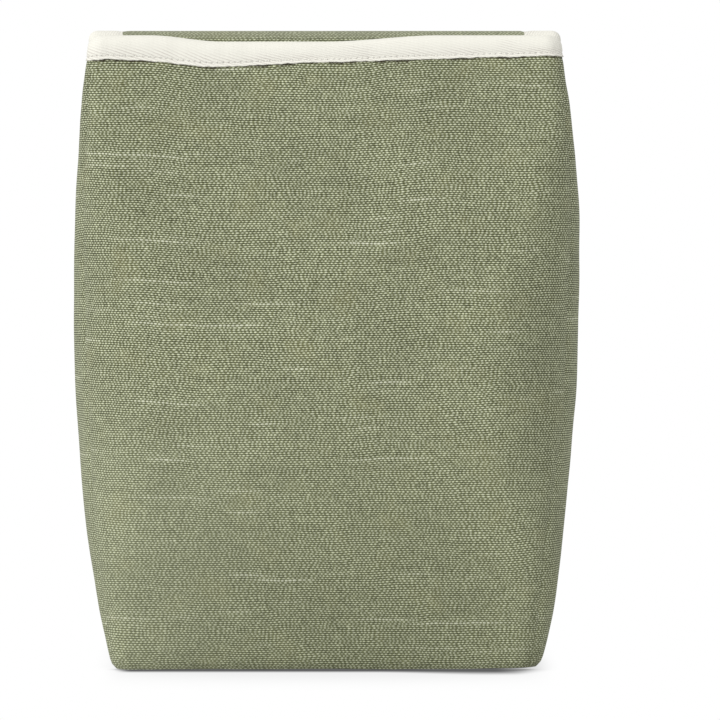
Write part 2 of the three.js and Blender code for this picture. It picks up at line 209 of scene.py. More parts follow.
def section(z):
    """Half sizes, corner radii and shaping of the body at a height."""
    z = min(z, FRONT_HEIGHT)
    below = max(0.0, 1 - z / BELLY_WIDTH_HEIGHT)
    above = max(0.0, (z - BELLY_WIDTH_HEIGHT) / (FRONT_HEIGHT - BELLY_WIDTH_HEIGHT))
    deep_below = max(0.0, 1 - z / BELLY_DEPTH_HEIGHT)
    deep_above = max(0.0, (z - BELLY_DEPTH_HEIGHT) / (FRONT_HEIGHT - BELLY_DEPTH_HEIGHT))
    width = BELLY_WIDTH - (BELLY_WIDTH - BASE_WIDTH) * below**SIDE_CURVE_LOW
    width -= (BELLY_WIDTH - MOUTH_WIDTH) * above**SIDE_CURVE_HIGH
    width += sum(more * bell(z, *where) for more, *where in SIDE_FULLNESS)
    depth = BELLY_DEPTH - (BELLY_DEPTH - BASE_DEPTH) * deep_below**DEEP_CURVE_LOW
    depth -= (BELLY_DEPTH - MOUTH_DEPTH) * deep_above**DEEP_CURVE_HIGH
    sway = sum(more * bell(z, *where) for more, *where in SIDE_SWAY)
    belly = lerp(BASE_CORNER, BELLY_CORNER, ease(z, 0, ROUND_CORNERS_AT))
    crease = ease(z, *CORNER_CREASE)
    fullness = math.sin(math.pi * (max(0.0, z) / FRONT_HEIGHT) ** CROWN_POWER)
    rolled = min(1.0, max(0.0, 1 - z / LINING_FACE))
    turned = EDGE_ROLL * (1 - math.sqrt(1 - rolled**2))
    front_corner = lerp(belly, MOUTH_CORNER, crease)
    return SimpleNamespace(
        half_width=width / 2 - turned,
        sway=sway + MOUTH_SWAY * ease(z, 240, 256),
        half_depth=depth / 2 - turned,
        front_corner=front_corner,
        rear_corner=lerp(front_corner, REAR_MOUTH_CORNER, ease(z, *REAR_CORNER_CREASE)),
        front_crown=FRONT_CROWN * fullness,
        back_crown=BACK_CROWN * fullness,
        tuck=GUSSET_TUCK * ease(z, TUCK_START, FRONT_HEIGHT),
    )


PLACES = {
    "left": lambda u, n: (-n, -u),
    "front": lambda u, n: (u, -n),
    "right": lambda u, n: (n, u),
    "back": lambda u, n: (-u, n),
}
FRONT_CORNERS = {
    ("front", -1): "left",
    ("front", 1): "right",
    ("left", 1): "left",
    ("right", -1): "right",
}


def seam_turn(side, hand, z):
    """How far round its corner a panel goes before the seam, in radians."""
    corner = FRONT_CORNERS.get((side, hand))
    if corner is None:
        return math.pi / 4
    turn = lerp(SEAM_LOW[corner], SEAM_MIDDLE, ease(z, 15, 110))
    turn = lerp(turn, SEAM_MOUTH, ease(z, 205, 262))
    return math.radians(turn if side == "front" else 90 - turn)


def smooth_wall(side, p, z, inset):
    """A point of a wall without its wrinkles, its outward direction and how far the seam is."""
    body = section(z)
    gusset = side in ("left", "right")
    along, out = body.half_width, body.half_depth
    if gusset:
        along, out = out, along
    hand = 1 if p >= 0 else -1
    corner = body.front_corner if (side, hand) in FRONT_CORNERS else body.rear_corner
    if FRONT_CORNERS.get((side, hand)) == "left":
        corner -= LEFT_FOOT_SHARPER * (1 - ease(z, 0, 30))
    radius = max(corner - inset, SMALLEST_CORNER)
    run = along - inset - radius
    face = out - inset
    length = run + radius * seam_turn(side, hand, z)
    s = abs(p) * length
    if s > run:
        turn = (s - run) / radius
        u, n = run + radius * math.sin(turn), face - radius + radius * math.cos(turn)
        facing = (hand * math.sin(turn), math.cos(turn))
    else:
        share = s / run
        u, n, facing = s, face, (0.0, 1.0)
        if gusset:
            nose = TUCK_NOSE**2
            n -= body.tuck * (1 - math.sqrt((share**2 + nose) / (1 + nose))) ** TUCK_POWER
        else:
            crown = body.front_crown if side == "front" else body.back_crown
            n += crown * (1 - share**2) ** 2
    x, y = PLACES[side](hand * u, n)
    dx, dy = PLACES[side](*facing)
    return Vector((x + body.sway, y, z)), Vector((dx, dy, 0)), length - s


def wrinkles(side, p, z):
    """Height of the cloth's relief above the smooth wall."""
    at, _, to_seam = smooth_wall(side, p, z, 0)
    calm = 1 - ease(z, *REAR_CORNER_CREASE) if side == "back" else 1 - 0.6 * ease(z, *CALM_MOUTH)
    calm *= ease(z, *CALM_FOOT)
    relief = LONG_WAVE * calm * noise.noise(at / LONG_WAVE_LENGTH + Vector((3.1, 0.7, 5.2)))
    relief += SHORT_WAVE * calm * noise.noise(at / SHORT_WAVE_LENGTH + Vector((8.4, 2.2, 1.9)))
    if side == "front":
        for height, x, wide, up, tall in FRONT_DENTS:
            relief += height * bell(at.x, x, wide) * bell(z, up, tall)
        x, up = at.x - FRONT_FOLD_AT[0], z - FRONT_FOLD_AT[1]
        ahead, rise = FRONT_FOLD_ALONG
        relief += 0.5 * bell(up * ahead - x * rise, 0, 4) * bell(x * ahead + up * rise, 0, 26)
        pucker = noise.noise(Vector((at.x / 7.5, 4.2, z / 40)))
        relief += 0.5 * pucker * ease(z, 236, 262) * (0.45 + 0.8 * bell(at.x, -62, 30))
    elif side == "back":
        relief += 0.5 * calm * noise.noise(Vector((at.x / 48, 7.7, z / 19)))
    else:
        # the gusset's fold line, which branches to both corners as the tuck begins
        relief -= 0.8 * bell(p, 0, 0.16) * ease(z, 60, 190) * (1 - ease(z, 240, 262))
        folded = ease(z, GUSSET_BRANCH_FROM, 188) * (1 - ease(z, 236, 256))
        across = GUSSET_HALF * abs(p)
        relief -= 0.8 * bell(across, 0.5 * (z - GUSSET_BRANCH_FROM), 5) * folded
        relief += 0.6 * bell(across, 0.5 * (z - GUSSET_BRANCH_FROM + 17), 6) * folded
    if side != "back" and z > 250:
        edge = tape_top(side, p) - tape_leg(side, p)
        relief -= TAPE_SINKS * ease(z, edge - 1.5, edge + 1)
    return relief - SEAM_DIP * calm * bell(to_seam, 0, 2.0)


def settled(at):
    """Lifts the front edge of the base a little off the floor, most at its right corner."""
    lift = 0.45 + 0.3 * noise.noise(Vector((at.x / 26, 1.7, 0.0))) + 0.5 * ease(at.x, 25, 90)
    near_edge = ease(-at.y, 34, 57) * ease(at.x, -98, -80) * (1 - ease(at.z, 0, 24))
    return at + Vector((0, 0, lift * near_edge))


def wall(side, p, z, inset=0.0, relief=1.0):
    """A point of a wall, p from -1 to 1 between its seams, at a depth below its outer face."""
    at, out, _ = smooth_wall(side, p, z, inset)
    return settled(at + out * (relief * wrinkles(side, p, z)))


def tape_top(side, p):
    """Height of the tape's folded edge."""
    if side == "front":
        x = smooth_wall("front", p, FRONT_HEIGHT, 0)[0].x
        return TAPE_TOP - TAPE_DIP * ease(x, *DIP_FALLS) * (1 - ease(x, *DIP_RISES))
    if side == "left":
        return lerp(REAR_TOP, tape_top("front", -1), (p + 1) / 2)
    return lerp(tape_top("front", 1), REAR_TOP, (p + 1) / 2)


def tape_leg(side, p):
    """Length of the tape's outer leg, from its folded edge down."""
    if side != "front":
        front = tape_leg("front", -1 if side == "left" else 1)
        return lerp(front, MOUTH_TAPE_LEG, ease((1 - p if side == "left" else 1 + p) / 2, 0, 0.3))
    x = smooth_wall("front", p, FRONT_HEIGHT, 0)[0].x
    low = TAPE_LOWER_EDGE + 0.006 * x
    # it hangs lower under the dip, and runs out of line a little at its ends
    low -= 1.8 * bell(x, -47, 17 if x < -47 else 28)
    low -= 1.8 * ease(x, -98, -50) * (1 - ease(x, -5, 85))
    low += 0.4 * bell(x, 93, 6) - 0.8 * ease(-x, 92, 104)
    low += 0.3 * noise.noise(Vector((x / 5.0, 0.3, 0.0)))
    low += 0.25 * noise.noise(Vector((x / 1.7, 3.3, 0.0)))
    return tape_top("front", p) - low


# Shape of the flap

ROLL_CENTRE = section(ROLL_HEIGHT).half_depth - STACK + ROLL_RADIUS


def flap_half(run):
    """Half width of the flap's cloth and padding, to the outside of the tape's fold."""
    at_wall = section(ROLL_HEIGHT).half_width
    return lerp(at_wall, FLAP_HALF, ease(run, -6, 9))


def face_leg(x):
    """Length of the flap tape's leg on the facing, a little longer at the right."""
    return FLAP_TAPE_FACE + 0.55 * x / FLAP_HALF


def on_flap(x, run, depth):
    """A point of the flap or the rear wall's top, by its place and its depth below the facing."""
    half = flap_half(run)
    if run <= 0:
        z = ROLL_HEIGHT + run
        p = max(-1.0, min(1.0, -x / half))
        at = wall("back", p, z, STACK - depth, relief=1 - ease(run, *REAR_FLATTENS))
        flat = Vector((x + FLAP_SHIFT, ROLL_CENTRE - ROLL_RADIUS + depth, z))
        return at.lerp(flat, ease(run, -9, 0))
    turn = math.pi - min(run / ROLL_RADIUS, ROLL_TURN)
    out = Vector((0, math.cos(turn), math.sin(turn)))
    past = run - ROLL_LENGTH
    # the tape's edge presses the padding in, over a softer step at the right
    leg = half + FLAP_TAPE_REACH - face_leg(x)
    press = TAPE_PRESS * ease(abs(x), leg - (0.4 if x < 0 else 1.3), leg + 0.2)
    press *= ease(run, 0, 8) * (1 - ease(past, 0, 25))
    at = Vector((x + FLAP_SHIFT, ROLL_CENTRE, ROLL_HEIGHT)) + out * (ROLL_RADIUS - depth - press)
    if past > 0:
        share = past / (FLAP_END - ROLL_LENGTH)
        at += Vector((0, math.sin(turn), -math.cos(turn))) * past
        bow = FLAP_BOW * math.sin(math.pi * min(1.0, share))
        bow += 1.3 * ease(past, 0, 45) * noise.noise(Vector((x / 70, run / 60, 2.6)))
        at += out * bow
    return at


# Making pieces

CUT_EDGE_ANGLE = math.radians(62)


def made_object(name, bm, material, slot=None, carried_by=None):
    """A finished piece. carried_by is the body it rides on, by name, or a crease's function."""
    mesh = bpy.data.meshes.new(name)
    bm.to_mesh(mesh)
    bm.free()
    mesh.materials.append(material)
    mesh.polygons.foreach_set("use_smooth", [True] * len(mesh.polygons))
    piece = bpy.data.objects.new(name, mesh)
    bpy.context.scene.collection.objects.link(piece)
    if isinstance(carried_by, str):
        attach(piece, carried_by)
    elif carried_by:
        carried_by(piece)
    return piece


def cut_panel(columns, rows, place, turned=False, below_tape=None, gathers=()):
    """A grid of cloth put in place by place(p, q), p from -1 to 1 and q from 0 to 1.

    Its UV map "cloth" is the flat cut in metres. gathers are lengths of cloth that lie gathered
    inside a bend, each with its first and last q. below_tape(p, q) gives millimetres below the
    tape's edge, kept as the attribute "near_tape", 10 at the edge and 0 from 10 mm down, and such
    a panel has the attribute "near_seam", 1 at its two seams. Returns the mesh, the cut's size
    and its area.
    """
    bm = bmesh.new()
    bmesh.ops.create_grid(bm, x_segments=columns, y_segments=rows, size=1)
    marks = bm.verts.layers.float
    if below_tape:
        marks.new("near_tape")
        marks.new("near_seam")
        near, seam = marks["near_tape"], marks["near_seam"]
    spots = np.zeros((rows + 1, columns + 1, 3))
    keys = {}
    for vert in bm.verts:
        i = round((vert.co.x + 1) / 2 * columns)
        j = round((vert.co.y + 1) / 2 * rows)
        p, q = 2 * i / columns - 1, j / rows
        vert.co = place(p, q) * MM
        if below_tape:
            vert[near] = max(0.0, 10 - below_tape(p, q))
            vert[seam] = 1.0 if i in (0, columns) else 0.0
        spots[j, i] = vert.co
        keys[vert] = (i, j)
    across = np.linalg.norm(np.diff(spots, axis=1), axis=2)
    u = np.concatenate([np.zeros((rows + 1, 1)), np.cumsum(across, axis=1)], axis=1)
    u -= u[:, columns // 2][:, None]
    up = np.linalg.norm(np.diff(spots, axis=0), axis=2).mean(axis=1)
    v = np.concatenate([[0.0], np.cumsum(up)])
    along = v.copy()
    for more, *span in gathers:
        along += [more * MM * ease(j / rows, *span) for j in range(rows + 1)]
    layer = bm.loops.layers.uv.new("cloth")
    for face in bm.faces:
        for loop in face.loops:
            i, j = keys[loop.vert]
            loop[layer].uv = (u[j, i], along[j])
    if turned:
        bmesh.ops.reverse_faces(bm, faces=bm.faces)
    widths = u[:, -1] - u[:, 0]
    area = float(((widths[1:] + widths[:-1]) / 2 * up).sum())
    return bm, (float(widths.max()), float(v[-1])), area


def thicken(bm, thickness):
    """Gives a sheet its thickness behind its faces, with sharp cut edges."""
    bm.normal_update()
    bmesh.ops.solidify(bm, geom=bm.faces[:], thickness=thickness * MM)
    bm.normal_update()
    for edge in bm.edges:
        edge.smooth = edge.calc_face_angle(0) < CUT_EDGE_ANGLE


def cloth(
    name, columns, rows, place, stuff, carried_by, replaces,
    turned=False, below_tape=None, gathers=(),
):
    """A sheet of cloth."""
    bm, flat, area = cut_panel(columns, rows, place, turned, below_tape, gathers)
    thicken(bm, stuff.thickness)
    piece = made_object(name, bm, stuff.finish, stuff.slot, carried_by)
    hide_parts(*replaces)


def pad(name, columns, rows, place, carried_by, replaces, turned=False):
    """A sheet of foam."""
    bm, _, _ = cut_panel(columns, rows, place, turned)
    thicken(bm, FOAM_SHEET.thickness)
    piece = made_object(name, bm, FOAM_SHEET.finish, FOAM_SHEET.slot, carried_by)
    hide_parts(*replaces)


# Creases


def near_crease(piece):
    """Bends from the rear wall into the roll, which turns with the fold."""
    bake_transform(piece, "bag", "fold", start=(0, 0.0435, 0.2707), end=(0, 0.049, 0.2762))


def far_crease(piece):
    """Bends from the roll into the flap, along a slope that falls 40 degrees to the back."""
    lean = math.radians(40)
    down_slope = Vector((0, math.cos(lean), -math.sin(lean)))
    start, end = down_slope * (-130.48 * MM), down_slope * (-120.09 * MM)
    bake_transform(piece, "fold", "flap", start=start, end=end)


def tip_crease(piece):
    """Bends from the flap into its tip, within 8 mm of the crease."""
    above, crease, below = (on_flap(0, TIP_CREASE + step, 3) for step in (-1, 0, 1))
    down = (below - above).normalized()
    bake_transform(piece, "flap", "tip", start=(crease - down * 8) * MM, end=(crease + down * 8) * MM)


# Finishes

WEFT_GREEN = (0.615, 0.645, 0.45)
WARP_GREEN = (0.235, 0.252, 0.133)
PALE_SLUB = (0.78, 0.79, 0.64)
PAINTED_THREAD_GAP_SHADE = (0.02, 0.022, 0.005)
PAINTED_SHADE_UNDER_TAPE = (0.035, 0.026, 0.014)
GOLDEN_PATCH = (0.355, 0.33, 0.15)
LEFT_NAP_AND_PAINTED_LIGHT = (0.37, 0.39, 0.265)
RIGHT_NAP_AND_PAINTED_SHADE = (0.235, 0.25, 0.15)
ROLL_NAP_AND_PAINTED_LIGHT = (0.36, 0.37, 0.27)
TAPE_WHITE = (0.915, 0.898, 0.81)
TAPE_RIB = (0.52, 0.465, 0.43)
NEEDLE_HOLE = (0.36, 0.33, 0.30)
THREAD_WHITE = (0.88, 0.865, 0.80)
THREAD_PLY = (0.62, 0.60, 0.55)
FOAM_WHITE = (0.82, 0.81, 0.77)
FOAM_PIT = (0.70, 0.69, 0.65)
LINING_GREY = (0.585, 0.597, 0.585)
LINING_CREASE = (0.68, 0.69, 0.68)
STEEL_GREY = (0.38, 0.39, 0.40)


class Wire:
    """One output of a shader node. Sums on wires and numbers add the Math nodes."""

    def __init__(self, finish, socket):
        self.finish = finish
        self.socket = socket

    def maths(self, operation, *values):
        return self.finish.maths(operation, *values)

    def __add__(self, other):
        return self.maths("ADD", self, other)

    def __radd__(self, other):
        return self.maths("ADD", other, self)

    def __sub__(self, other):
        return self.maths("SUBTRACT", self, other)

    def __rsub__(self, other):
        return self.maths("SUBTRACT", other, self)

    def __mul__(self, other):
        return self.maths("MULTIPLY", self, other)

    def __rmul__(self, other):
        return self.maths("MULTIPLY", other, self)

    def __truediv__(self, other):
        return self.maths("DIVIDE", self, other)

    def floor(self):
        return self.maths("FLOOR", self)

    def fraction(self):
        return self.maths("FRACT", self)

    def sine(self):
        return self.maths("SINE", self)

    def most(self, other):
        return self.maths("MAXIMUM", self, other)

    def size(self):
        return self.maths("ABSOLUTE", self)

    def other(self, name):
        return Wire(self.finish, self.socket.node.outputs[name])


class Finish:
    """The nodes of a material, or of the world."""

    def __init__(self, name, kind=bpy.data.materials):
        self.owner = kind.new(name)
        self.owner.use_nodes = True
        self.tree = self.owner.node_tree
        self.tree.nodes.clear()

    def node(self, kind, settings=None, inputs=None, output=0):
        made = self.tree.nodes.new("ShaderNode" + kind)
        for name, value in (settings or {}).items():
            setattr(made, name, value)
        for name, value in (inputs or {}).items():
            if isinstance(value, Wire):
                self.tree.links.new(value.socket, made.inputs[name])
            else:
                made.inputs[name].default_value = value
        return Wire(self, made.outputs[output]) if made.outputs else None

    def maths(self, operation, *values):
        return self.node("Math", {"operation": operation}, dict(enumerate(values)))

    def ramp(self, value, low, high):
        settings = {"interpolation_type": "SMOOTHSTEP"}
        return self.node("MapRange", settings, {"Value": value, "From Min": low, "From Max": high})

    def mottle(self, at, scale, detail=2.0, rough=0.5):
        inputs = {"Vector": at, "Scale": scale, "Detail": detail, "Roughness": rough}
        return self.node("TexNoise", None, inputs)

    def blend(self, share, a, b):
        a, b = ((*c, 1) if isinstance(c, tuple) else c for c in (a, b))
        return self.node("Mix", {"data_type": "RGBA"}, {0: share, 6: a, 7: b}, 2)

    def object_place(self):
        return self.node("TexCoord", None, None, "Object")

    def cut_place(self, uv):
        """Millimetres along and up the flat cut."""
        flat = self.node("SeparateXYZ", None, {"Vector": uv})
        return flat / MM, flat.other("Y") / MM

    def thread_noise(self, x, y, detail):
        """Noise by a thread's number and a place along it."""
        return self.mottle(self.node("CombineXYZ", None, {"X": x, "Y": y}), 1.0, detail)

    def tint(self, colour, amount):
        """A colour made lighter or darker by an amount."""
        grey = self.node("CombineXYZ", None, {"X": amount, "Y": amount, "Z": amount})
        settings = {"operation": "MULTIPLY"}
        return self.node("VectorMath", settings, {0: colour, 1: grey})

    def surface(self, colour, bump=None, depth=0.1, **sockets):
        """Joins the pattern to the shader. Names of sockets are given with _ for a space."""
        inputs = {name.replace("_", " "): value for name, value in sockets.items()}
        inputs["Base Color"] = colour
        if bump is not None:
            raised = {"Height": bump, "Strength": 1.0, "Distance": depth * MM}
            inputs["Normal"] = self.node("Bump", None, raised)
        self.node("OutputMaterial", None, {"Surface": self.node("BsdfPrincipled", None, inputs)})
        return self.owner

    def background_rays(self):
        """1 for the rays that see the white background: camera, glossy and transmission rays."""
        ray = self.node("LightPath")
        return ray.most(ray.other("Is Glossy Ray")).most(ray.other("Is Transmission Ray"))


def plain_weave(f, uv):
    """Where the weft and the warp of a plain weave lie, and the threads' numbers."""
    u, v = f.cut_place(uv)
    drift = f.mottle(uv, 30, 2.0)
    lean = f.node("SeparateColor", None, {"Color": f.mottle(uv, 60, 1.0).other("Color")})
    v = v + (drift - 0.5) * 3.0
    b = v / WEFT_PITCH
    row = b.floor()
    jitter = f.node("TexWhiteNoise", {"noise_dimensions": "1D"}, {"W": row})
    slack = f.thread_noise(u * 0.13, row * 0.42, 2.0)
    a = (u + (lean - 0.5) * 2.4) / WARP_PITCH + (jitter - 0.5) * 0.5 + (slack - 0.5) * 3.0
    level = f.thread_noise(u * 0.011, row * 9.7, 1.0)
    return SimpleNamespace(
        u=u, v=v, row=row, column=a.floor(), level=level - 0.5,
        row_crown=(b.fraction() * math.pi).sine(),
        column_crown=(a.fraction() * math.pi).sine(),
        float=((a + row) * math.pi).sine(),
    )


def green_linen():
    f = Finish("green_linen")
    uv = f.node("UVMap", {"uv_map": "cloth"})
    threads = plain_weave(f, uv)
    # each weft is thick and thin along its length, with a slub here and there
    short_slub = f.ramp(f.thread_noise(threads.u * 0.02, threads.row * 7.31, 1.0), 0.65, 0.8)
    long_slub = f.ramp(f.thread_noise(threads.u * 0.0075, threads.row * 4.63, 0.0), 0.745, 0.81)
    slub = short_slub.most(long_slub * 0.75)
    uneven = f.thread_noise(threads.u * 0.8, threads.row * 3.77, 2.0) - 0.5
    knots = f.thread_noise(threads.column * 5.13, threads.v * 0.3, 1.0) - 0.5
    weft = threads.row_crown * 0.55 + threads.float * 0.45 + uneven * 0.9 + slub * 0.25
    on_top = f.ramp(weft + threads.level * 0.1, 0.15, 0.85)
    # painted shade: the gaps between the weft rows are darkened
    gap = f.ramp(threads.row_crown + uneven * 0.9 + threads.level * 0.15 + slub * 0.3, 0.05, 0.95)
    thread = f.blend(on_top, WARP_GREEN, f.blend(slub * 0.6, WEFT_GREEN, PALE_SLUB))
    shaded = f.tint(f.blend(gap, PAINTED_THREAD_GAP_SHADE, thread), knots * 0.68 + 1.0)
    patches = f.mottle(uv, 26, 3.0)
    shaded = f.tint(shaded, (patches - 0.5) * 0.42 + 1.055)
    gold = f.ramp(f.mottle(uv, 48, 3.0), 0.5, 0.8)
    shaded = f.blend(gold * 0.2, shaded, GOLDEN_PATCH)
    # painted shade: the cloth is darkened just below the tape's edge, where it goes in under the tape
    near = f.node("Attribute", {"attribute_name": "near_tape"}, None, "Fac")
    below = 10 - near + (f.mottle(uv, 330, 2.0) - 0.5) * 3.0
    broad = f.ramp(f.mottle(uv, 75, 2.0), 0.38, 0.66) * 1.3 + 0.35
    shaded = f.blend((1 - f.ramp(below / broad, 0.1, 1.3)) * 0.94, shaded, PAINTED_SHADE_UNDER_TAPE)
    seam = f.node("Attribute", {"attribute_name": "near_seam"}, None, "Fac")
    shaded = f.tint(shaded, 1 - f.ramp(seam, 0.6, 0.95) * 0.1)
    # its nap stands up low on the walls and over the roll, where the weave shows less; this also carries
    # painted light, lighter low at the left and darker low at the right
    place = f.node("SeparateXYZ", None, {"Vector": f.object_place()})
    x, y, z = place / MM, place.other("Y") / MM, place.other("Z") / MM
    left = 1 - f.ramp(x, -80, 10)
    nap_and_painted_light = f.blend(left, RIGHT_NAP_AND_PAINTED_SHADE, LEFT_NAP_AND_PAINTED_LIGHT)
    shaded = f.blend((1 - f.ramp(z, 50, 150)) * (left * 0.08 + 0.14), shaded, nap_and_painted_light)
    # painted light on the roll's upward face, with its nap
    over = f.ramp(z, 270, 273) * f.ramp(y, 30, 45)
    shaded = f.blend(over * 0.4, shaded, ROLL_NAP_AND_PAINTED_LIGHT)
    # painted shade low on the walls towards the base, and a little darker towards the mouth
    painted_low_shade = (1 - f.ramp(z, 10, 80)) * (1 - f.ramp(x.size(), 50, 92))
    colour = f.tint(shaded, (1 - painted_low_shade * 0.13) * (1 - f.ramp(z, 180, 250) * 0.04))
    height = threads.row_crown * 0.6 + threads.float * threads.row_crown * 0.35
    height = height + threads.column_crown * 0.15
    return f.surface(
        colour, bump=height + uneven * 0.3, depth=0.14, Roughness=0.94, Sheen_Weight=0.08,
        Sheen_Roughness=0.6, Specular_IOR_Level=0.15,
    )


def twill_tape():
    f = Finish("off_white_twill_tape")
    uv = f.node("UVMap", {"uv_map": "cloth"})
    u, v = f.cut_place(uv)
    rib = (((v + u * TWILL_SLANT) / TWILL_PITCH) * (2 * math.pi)).sine()
    cross = ((u / TAPE_YARN) * (2 * math.pi)).sine()
    wear = f.ramp(f.mottle(uv, 90, 3.0), 0.3, 0.7)
    pressed = f.ramp(v, 3.0, 5.8) * f.ramp(f.mottle(uv, 28, 1.0), 0.32, 0.46)
    flattened = pressed.most(f.ramp(v, 7, 9))
    line = f.ramp(rib + cross * 0.2, 0.1, 1.0) * (0.3 + wear * 0.7) * (1 - flattened * 0.85)
    hole_u = ((u / STITCH_PITCH).fraction() - 0.5) * STITCH_PITCH
    hole_v = v - STITCH_INSET
    hole = 1 - f.ramp(f.maths("POWER", hole_u * hole_u + hole_v * hole_v, 0.5), 0.18, 0.5)
    patches = f.mottle(uv, 45, 3.0)
    colour = f.blend(line * 0.66, TAPE_WHITE, TAPE_RIB)
    colour = f.blend(hole * 0.38, colour, NEEDLE_HOLE)
    colour = f.tint(colour, (patches - 0.5) * 0.07 + 1.0)
    height = rib * 0.5 + cross * 0.3 - hole * 2.0
    return f.surface(
        colour, bump=height, depth=0.07, Roughness=0.9, Sheen_Weight=0.05, Specular_IOR_Level=0.15,
    )


def cotton_thread():
    f = Finish("off_white_thread")
    at = f.object_place()
    ply = f.node("TexWave", {"bands_direction": "DIAGONAL"}, {"Vector": at, "Scale": 900.0})
    colour = f.blend(ply * 0.35, THREAD_WHITE, THREAD_PLY)
    return f.surface(colour, bump=ply, depth=0.03, Roughness=0.7, Sheen_Weight=0.1)


def closed_cell_foam():
    f = Finish("closed_cell_foam")
    at = f.object_place()
    cells = f.node("TexVoronoi", None, {"Vector": at, "Scale": 1400.0})
    patches = f.mottle(at, 60, 2.0)
    pits = f.ramp(cells, 0.05, 0.55)
    colour = f.tint(f.blend(pits, FOAM_PIT, FOAM_WHITE), patches * 0.12 + 0.94)
    return f.surface(colour, bump=pits, depth=0.08, Roughness=0.88)


def coated_lining():
    f = Finish("coated_lining")
    uv = f.node("UVMap", {"uv_map": "cloth"})
    u, v = f.cut_place(uv)
    yarn = ((u / LINING_YARN) * (2 * math.pi)).sine() * ((v / LINING_YARN) * (2 * math.pi)).sine()
    folds = f.mottle(uv, 38, 4.0, 0.62)
    creased = 1 - f.ramp((folds - 0.5).size(), 0.0, 0.035)
    patches = f.mottle(uv, 20, 2.0)
    colour = f.blend(creased * 0.5, LINING_GREY, LINING_CREASE)
    colour = f.tint(colour, patches * 0.1 + 0.95)
    height = yarn * 0.05 + creased * 0.5 + folds * 5.0
    return f.surface(
        colour, bump=height, depth=0.5, Roughness=0.42 + patches * 0.12, Coat_Weight=0.15,
    )


def magnet_steel():
    f = Finish("brushed_magnet_steel")
    at = f.object_place()
    grain = f.node("Mapping", None, {"Vector": at, "Scale": (4000.0, 300.0, 300.0)})
    brushed = f.mottle(grain, 1.0, 3.0)
    colour = f.tint(STEEL_GREY, brushed * 0.2 + 0.9)
    return f.surface(colour, bump=brushed, depth=0.02, Roughness=0.28 + brushed * 0.2, Metallic=1.0)


LINEN_CLOTH = SimpleNamespace(thickness=LINEN, finish=green_linen(), slot="linen")
TAPE_STRIP = SimpleNamespace(thickness=TAPE, finish=twill_tape(), slot="tape")
FOAM_SHEET = SimpleNamespace(thickness=FOAM, finish=closed_cell_foam(), slot="foam")
LINING_CLOTH = SimpleNamespace(thickness=LINING, finish=coated_lining(), slot="lining")
THREAD_FINISH = cotton_thread()
STEEL_FINISH = magnet_steel()

# Body panels

SIDES = {"front": "front", "left": "left_gusset", "right": "right_gusset"}


def cut_edge(side, p):
    """Height at which a wall's layers are cut, under the tape."""
    return tape_top(side, p) - MOUTH_DROP


def wall_place(side, low, high, inset):
    """Where a layer of a wall lies, from height low to height high, or to the mouth if None."""

    def place(p, q):
        top = high if high is not None else cut_edge(side, p)
        return wall(side, p, lerp(low, top, q), inset)

    return place


def under_tape(side):
    """Millimetres from the tape's lower edge down to a place on a wall's outer cloth."""

    def below(p, q):
        return tape_top(side, p) - tape_leg(side, p) - cut_edge(side, p) * q

    return below


def rear_place(inset, last_run):
    """A layer of the rear wall, from the base up into the roll, with finer rows near the roll."""
    lower_rows = 0.75

    def place(p, q):
        if q < lower_rows:
            run = lerp(inset - ROLL_HEIGHT, FINE_ROWS_FROM, q / lower_rows)
        else:
            run = lerp(FINE_ROWS_FROM, last_run, (q - lower_rows) / (1 - lower_rows))
        edge = lerp(1.0, (flap_half(run) - STACK_EDGE) / flap_half(run), ease(run, -8, 0))
        if run < REAR_FLATTENS[0]:
            return wall("back", p, ROLL_HEIGHT + run, inset)
        return on_flap(-p * edge * flap_half(run), run, STACK - inset)

    return place


for side, node in SIDES.items():
    columns = 110 if side == "front" else 70
    cloth(
        f"{node}_panel", columns, 120, wall_place(side, 0, None, 0), LINEN_CLOTH, "bag",
        [f"outer_{node}"], below_tape=under_tape(side),
    )
    pad(
        f"{node}_padding", columns // 2, 60, wall_place(side, FOAM_FACE, None, FOAM_FACE), "bag",
        [f"insulation_{node}"],
    )
    cloth(
        f"{node}_lining", columns // 2, 60, wall_place(side, LINING_FACE, None, LINING_FACE),
        LINING_CLOTH, "bag", [f"lining_{node}"],
    )

cloth(
    "back_panel", 90, 130, rear_place(0, MID_ROLL), LINEN_CLOTH, near_crease, ["outer_back"],
    gathers=[(12.6, 0.868, 0.922)],
)
pad("back_padding", 50, 80, rear_place(FOAM_FACE, MID_ROLL), near_crease, ["insulation_back"])
cloth(
    "back_lining", 50, 60, wall_place("back", LINING_FACE, FACING_BOTTOM + 1, LINING_FACE),
    LINING_CLOTH, "bag", ["lining_back"],
)


def base_place(height, outline_height, inset):
    """A flat panel cut to the body's outline."""

    def place(p, q):
        r = 2 * q - 1
        reach = max(abs(p), abs(r), 1e-9)
        if abs(r) >= abs(p):
            side, share = ("front", p / reach) if r < 0 else ("back", -p / reach)
        else:
            side, share = ("right", r / reach) if p > 0 else ("left", -r / reach)
        rim = smooth_wall(side, share, outline_height, inset)[0]
        return settled(Vector((rim.x * reach, rim.y * reach, height)))

    return place


cloth(
    "base_panel", 60, 40, base_place(0.05, 0, 0.2), LINEN_CLOTH, "bag", ["outer_base"],
    turned=True,
)
pad(
    "base_padding", 60, 40, base_place(FOAM_FACE, FOAM_FACE, FOAM_FACE), "bag",
    ["insulation_base"], turned=True,
)
cloth(
    "base_lining", 60, 40, base_place(LINING_FACE, LINING_FACE + 1, LINING_FACE), LINING_CLOTH,
    "bag", ["lining_base"], turned=True,
)

# Roll, flap and tip


